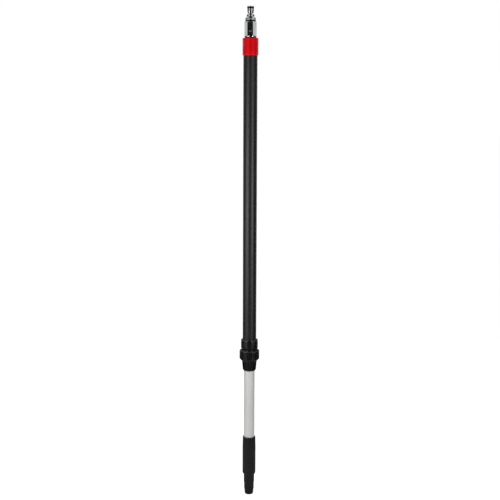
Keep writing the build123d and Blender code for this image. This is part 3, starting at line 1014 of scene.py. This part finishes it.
def floor():
    """Plain pale floor, lifted to about white, on which the pole's soft shadow doesn't show."""
    half = FLOOR_SIZE / 2
    z = cad_box[0].z - FLOOR_GAP
    corners = [(-half, -half, z), (half, -half, z), (half, half, z), (-half, half, z)]
    piece = mesh_object("floor", corners, [(0, 1, 2, 3)], [0.0] * 4)
    material, tree, bsdf = shader("floor")
    mottle = noise(tree, (30, 30, 30), 2.0)
    low = (FLOOR_ALBEDO - FLOOR_MOTTLE,) * 3
    high = (FLOOR_ALBEDO + FLOOR_MOTTLE,) * 3
    tree.links.new(mixed(tree, mottle, low, high), bsdf.inputs["Base Color"])
    bsdf.inputs["Roughness"].default_value = 0.9
    bsdf.inputs["Specular IOR Level"].default_value = 0.0
    path = tree.nodes.new("ShaderNodeLightPath")
    seen = plus(tree, path.outputs["Is Camera Ray"], path.outputs["Is Glossy Ray"])
    lift = remap(tree, seen, 0.0, 1.0, 0.0, FLOOR_LIFT)
    bsdf.inputs["Emission Color"].default_value = (1.0, 1.0, 1.0, 1.0)
    tree.links.new(lift, bsdf.inputs["Emission Strength"])
    piece.data.materials.append(material)


def dark_stage(name, vertices, faces, shade=DARK_SHADE):
    """Dark cloth of the studio, which only reflections see."""
    piece = mesh_object(name, vertices, faces, [0.0] * len(vertices))
    material, tree, bsdf = shader(name)
    cloth = noise(tree, (200, 200, 200), 2.0)
    low = ((1 - CLOTH_MOTTLE) * shade,) * 3
    high = ((1 + CLOTH_MOTTLE) * shade,) * 3
    tree.links.new(mixed(tree, cloth, low, high), bsdf.inputs["Base Color"])
    bsdf.inputs["Roughness"].default_value = 1.0
    bsdf.inputs["Specular IOR Level"].default_value = 0.0
    piece.data.materials.append(material)
    piece.visible_camera = False
    piece.visible_diffuse = False
    piece.visible_shadow = False


def ribbon_faces(count):
    """Faces between two rows of points, one after the other."""
    return [(i, i + 1, count + i + 1, count + i) for i in range(count - 1)]


def spread(start, end, steps):
    """Evenly spaced angles, in radians, between two in degrees."""
    return [math.radians(start + (end - start) * i / steps) for i in range(steps + 1)]


def swept(name, left, right, near, far, shade=DARK_SHADE):
    """Dark strip swept round the pole between two azimuths and two (radius, height) edges."""
    angles = spread(left, right, SCREEN_STEPS)
    vertices = []
    for radius, z in (near, far):
        vertices += [(radius * math.sin(a), -radius * math.cos(a), z) for a in angles]
    dark_stage(name, vertices, ribbon_faces(len(angles)), shade)


def arch():
    """Dark band from in front of the pole to over its top."""
    tilts = spread(ARCH_FROM, ARCH_TO, ARCH_STEPS)
    vertices = []
    for x in (-ARCH_HALF_WIDTH, ARCH_HALF_WIDTH):
        for tilt in tilts:
            z = ARCH_CENTRE + SCREEN_RADIUS * math.sin(tilt)
            vertices.append((x, -SCREEN_RADIUS * math.cos(tilt), z))
    dark_stage("screen_arch", vertices, ribbon_faces(len(tilts)))


def screens():
    """Dark screens round the pole, with a gap behind each side, and cloths on the floor."""
    ground = cad_box[0].z + FLOOR_GAP
    wall = SCREEN_RADIUS
    middle = ((wall, SURROUND_TOP), (wall, SCREEN_TOP))
    swept("surround_front", -SURROUND_FRONT, SURROUND_FRONT, (wall, ground), (wall, SURROUND_TOP))
    swept("surround_back", *SURROUND_BACK, (wall, ground), (wall, SURROUND_TOP))
    swept("screen", SCREEN_LEFT, SCREEN_RIGHT, *middle, SCREEN_SHADE)
    upper = ((wall, SCREEN_TOP), (wall, UPPER_SCREEN_TOP))
    arch()
    swept("screen_left", -SIDE_SCREEN_TO, -SIDE_SCREEN_FROM, *upper, GREY_SHADE)
    swept("screen_right", SIDE_SCREEN_FROM, SIDE_SCREEN_TO, *upper, GREY_SHADE)
    near = ((radius_of("tip_o_ring"), ground), (CLOTH_SEAM, ground))
    far = ((CLOTH_SEAM, ground), (wall, ground))
    swept("cloth_near", *FULL_CIRCLE, *near, GREY_SHADE)
    swept("cloth_far", *FULL_CIRCLE, *far, FAR_CLOTH_SHADE)


def area_light(name, place, target, width, height, power):
    """Soft rectangular lamp."""
    lamp = bpy.data.lights.new(name, "AREA")
    lamp.shape = "RECTANGLE"
    lamp.size = width
    lamp.size_y = height
    lamp.energy = power
    piece = bpy.data.objects.new(name, lamp)
    piece.location = place
    piece.rotation_euler = (Vector(target) - Vector(place)).to_track_quat("-Z", "Y").to_euler()
    piece.visible_camera = False
    bpy.context.scene.collection.objects.link(piece)


def lamps():
    """A wide strip and a narrow, taller core on each side, and an even light from above."""
    for part, (foot, top), azimuths, widths, powers in (
        ("strip", STRIP_SPAN, STRIP_AZIMUTHS, STRIP_WIDTHS, STRIP_POWERS),
        ("core", STRIP_CORE_SPAN, STRIP_CORE_AZIMUTHS, STRIP_CORE_WIDTHS, STRIP_CORE_POWERS),
    ):
        middle = (foot + top) / 2
        for side, azimuth, width, power in zip(("left", "right"), azimuths, widths, powers):
            angle = math.radians(azimuth)
            place = (STRIP_DISTANCE * math.sin(angle), -STRIP_DISTANCE * math.cos(angle), middle)
            area_light(f"{part}_{side}", place, (0, 0, middle), width, top - foot, power)
    sky = bpy.data.lights.new("sky", "SUN")
    sky.energy = SKY_STRENGTH
    sky.angle = SKY_SPREAD
    piece = bpy.data.objects.new("sky", sky)
    piece.location = (0, 0, SKY_HEIGHT)
    piece.visible_glossy = False
    bpy.context.scene.collection.objects.link(piece)


def camera():
    """Camera at the viewer's height, looking slightly down."""
    data = bpy.data.cameras.new("camera")
    data.sensor_width = SENSOR_WIDTH
    data.lens = FOCAL_PIXELS / FRAME_PIXELS * SENSOR_WIDTH
    piece = bpy.data.objects.new("camera", data)
    tilt = Matrix.Rotation(math.pi / 2 - CAMERA_PITCH, 4, "X")
    roll = Matrix.Rotation(CAMERA_ROLL, 4, "Z")
    place = Matrix.Translation((CAMERA_OFFSET, -CAMERA_DISTANCE, CAMERA_HEIGHT))
    piece.matrix_world = place @ tilt @ roll
    bpy.context.scene.collection.objects.link(piece)
    bpy.context.scene.camera = piece


camera()
world()
floor()
screens()
lamps()
bpy.context.scene.view_settings.view_transform = "Standard"

finish_nodes()
tube("outer_tube_skin", "outer_tube", 1.2 * MM, "outer_pole", black_anodised)
tube("inner_tube_skin", "inner_tube", 1.2 * MM, "inner_pole", bright_anodised)
tool_cone()
cone_screw()
grip_nut()
clamp()
collar()
barrel()
pin_heads()
nipple()
seals()
